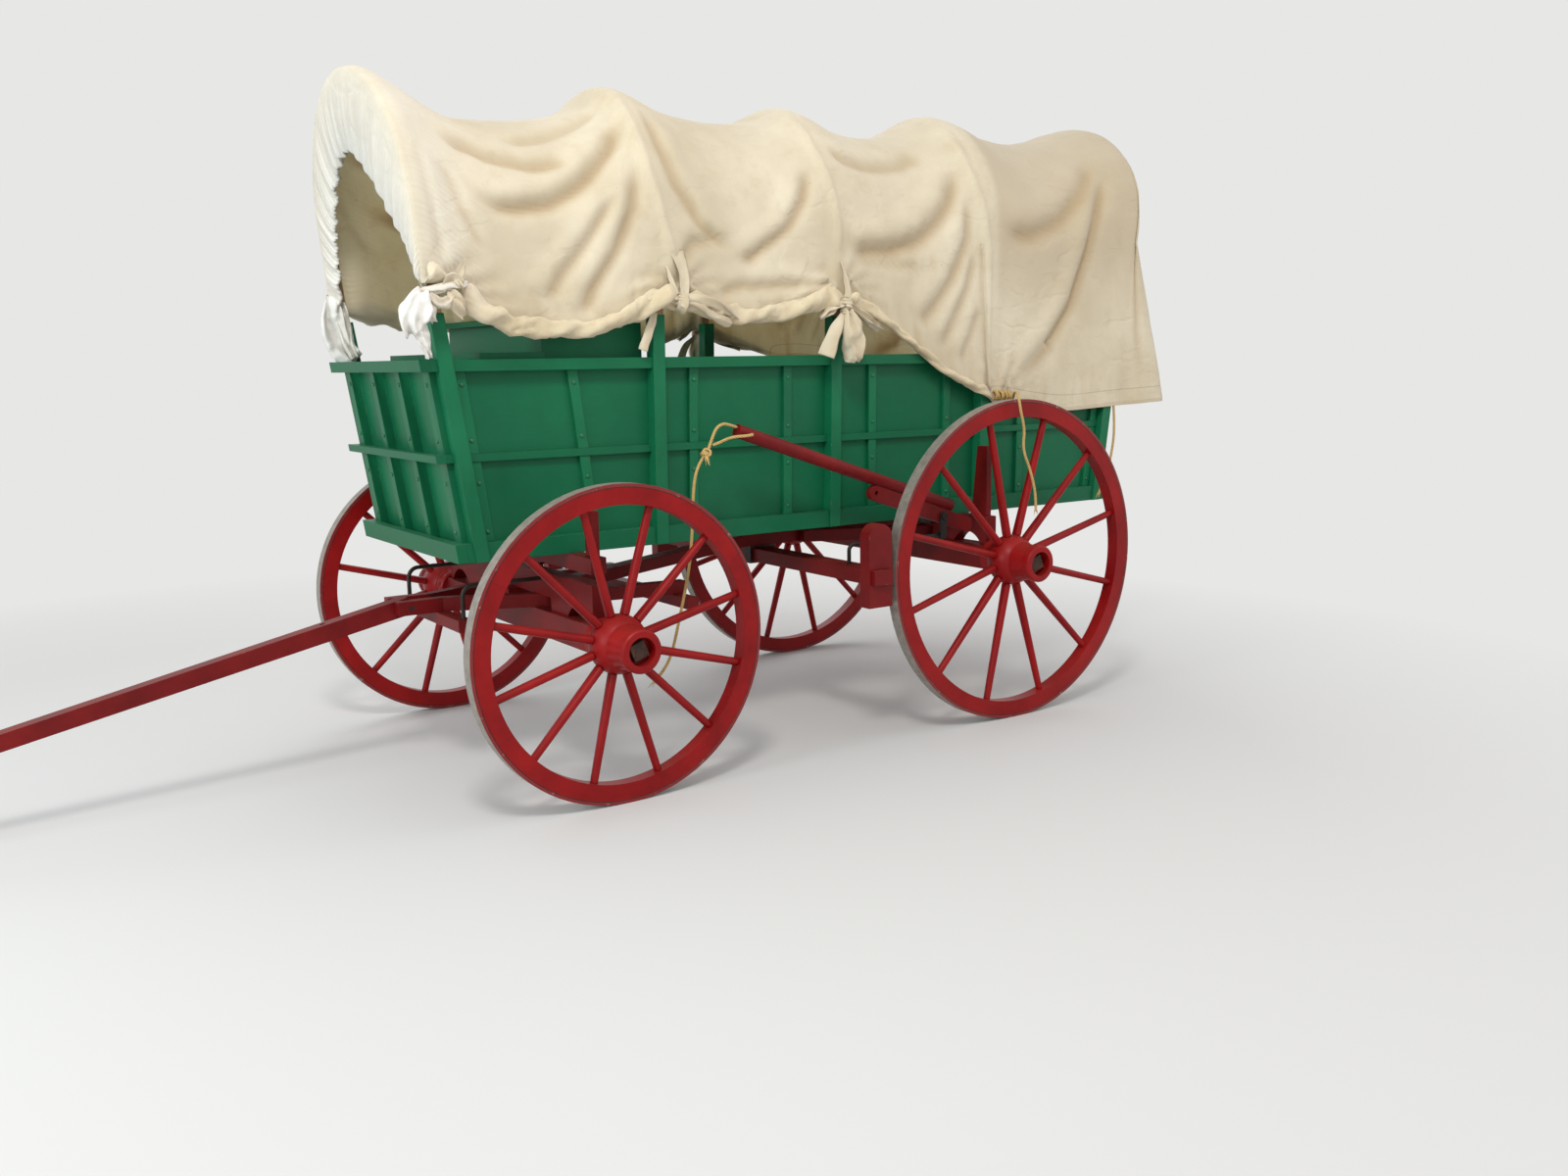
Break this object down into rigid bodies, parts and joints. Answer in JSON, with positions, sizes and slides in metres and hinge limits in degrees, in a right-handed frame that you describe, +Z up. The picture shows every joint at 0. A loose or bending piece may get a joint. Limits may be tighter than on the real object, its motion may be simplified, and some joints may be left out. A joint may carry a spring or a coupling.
{
  "type": "covered wagon",
  "caption": "Horse-drawn covered wagon: raked panelled box, bows under a canvas cover, spoked wooden wheels, steering front gear, tongue and side-lever brake.",
  "frame": {"origin": "middle of the overall length and width, on the ground", "axes": "+X to the front, along the wagon and its tongue, +Y to the left, +Z up"},
  "size_m": [6.438, 1.96, 2.6112],
  "materials": {
    "green_wood": "painted green, worn semi-gloss",
    "red_wood": "painted dark red, satin",
    "bare_wood": "unpainted, dull",
    "bow_wood": "bent hardwood, dull",
    "canvas": "unbleached cotton duck",
    "iron": "dark, rust tinged",
    "rope": "twisted manila, dull",
    "tyre_iron": "worn, dusty"
  },
  "bodies": {
    "wagon": {"side_boards": "green_wood", "side_rails": "green_wood", "end_rails": "green_wood", "bed_floor": "bare_wood", "cross_sills": "bare_wood", "front_gate": "green_wood", "stakes": "green_wood", "side_battens": "green_wood", "seat_box": "green_wood", "sill_straps": "iron", "bows": "bow_wood", "cover": "canvas", "front_bolster": "red_wood", "kingpin": "iron", "bolster_stakes": "red_wood", "rear_axle": "red_wood", "rear_axle_arms": "iron", "rear_bolster": "red_wood", "reach": "red_wood", "rear_hounds": "red_wood", "brake_bracket": "iron", "brake_stirrup": "iron", "lashing_rope": "rope", "rear_rope": "rope"},
    "tailgate": {"tailgate": "green_wood", "tailgate_straps": "iron"},
    "front_gear": {"front_axle": "red_wood", "front_axle_arms": "iron", "sand_board": "red_wood", "rub_plate": "iron", "front_hounds": "red_wood", "hound_bars": "red_wood", "front_braces": "iron", "tongue_pin": "iron"},
    "tongue": {"tongue": "red_wood"},
    "brake_lever": {"brake_lever": "red_wood", "brake_arm": "red_wood", "brake_crank": "iron", "lever_rope": "rope", "lever_rope_loop": "rope"},
    "brake_beam": {"brake_beam": "red_wood", "brake_rod": "iron", "brake_shoes": "red_wood"},
    "front_left_wheel": {"front_left_hub": "red_wood", "front_left_spokes": "red_wood", "front_left_felloes": "red_wood", "front_left_tyre": "tyre_iron"},
    "front_right_wheel": {"front_right_hub": "red_wood", "front_right_spokes": "red_wood", "front_right_felloes": "red_wood", "front_right_tyre": "tyre_iron"},
    "rear_left_wheel": {"rear_left_hub": "red_wood", "rear_left_spokes": "red_wood", "rear_left_felloes": "red_wood", "rear_left_tyre": "tyre_iron"},
    "rear_right_wheel": {"rear_right_hub": "red_wood", "rear_right_spokes": "red_wood", "rear_right_felloes": "red_wood", "rear_right_tyre": "tyre_iron"}
  },
  "joints": [
    {"name": "steering", "type": "hinge", "parent": "wagon", "child": "front_gear", "pos_m": [-0.121, 0, 0.6], "axis": [0, 0, 1], "range_deg": [-18, 18]},
    {"name": "tongue_pitch", "type": "hinge", "parent": "front_gear", "child": "tongue", "pos_m": [0.349, 0, 0.635], "axis": [0, -1, 0], "range_deg": [0, 28]},
    {"name": "brake_pull", "type": "hinge", "parent": "wagon", "child": "brake_lever", "pos_m": [-1.731, 0.652, 0.867], "axis": [0, 1, 0], "range_deg": [0, 10]},
    {"name": "brake_apply", "type": "slide", "parent": "wagon", "child": "brake_beam", "axis": [-1, 0, 0], "range_m": [0, 0.014]},
    {"name": "tailgate_drop", "type": "hinge", "parent": "wagon", "child": "tailgate", "pos_m": [-2.94091, 0, 0.914], "axis": [0, -1, 0], "range_deg": [0, 165]},
    {"name": "front_left_wheel_spin", "type": "hinge", "parent": "front_gear", "child": "front_left_wheel", "pos_m": [-0.121, 0.83, 0.559], "axis": [0, 1, 0], "continuous": true},
    {"name": "front_right_wheel_spin", "type": "hinge", "parent": "front_gear", "child": "front_right_wheel", "pos_m": [-0.121, -0.83, 0.559], "axis": [0, 1, 0], "continuous": true},
    {"name": "rear_left_wheel_spin", "type": "hinge", "parent": "wagon", "child": "rear_left_wheel", "pos_m": [-1.994, 0.83, 0.673], "axis": [0, 1, 0], "continuous": true},
    {"name": "rear_right_wheel_spin", "type": "hinge", "parent": "wagon", "child": "rear_right_wheel", "pos_m": [-1.994, -0.83, 0.673], "axis": [0, 1, 0], "continuous": true}
  ],
  "couplings": [
    {"joint": "brake_apply", "follows": "brake_pull", "m_per_rad": 0.080214}
  ]
}
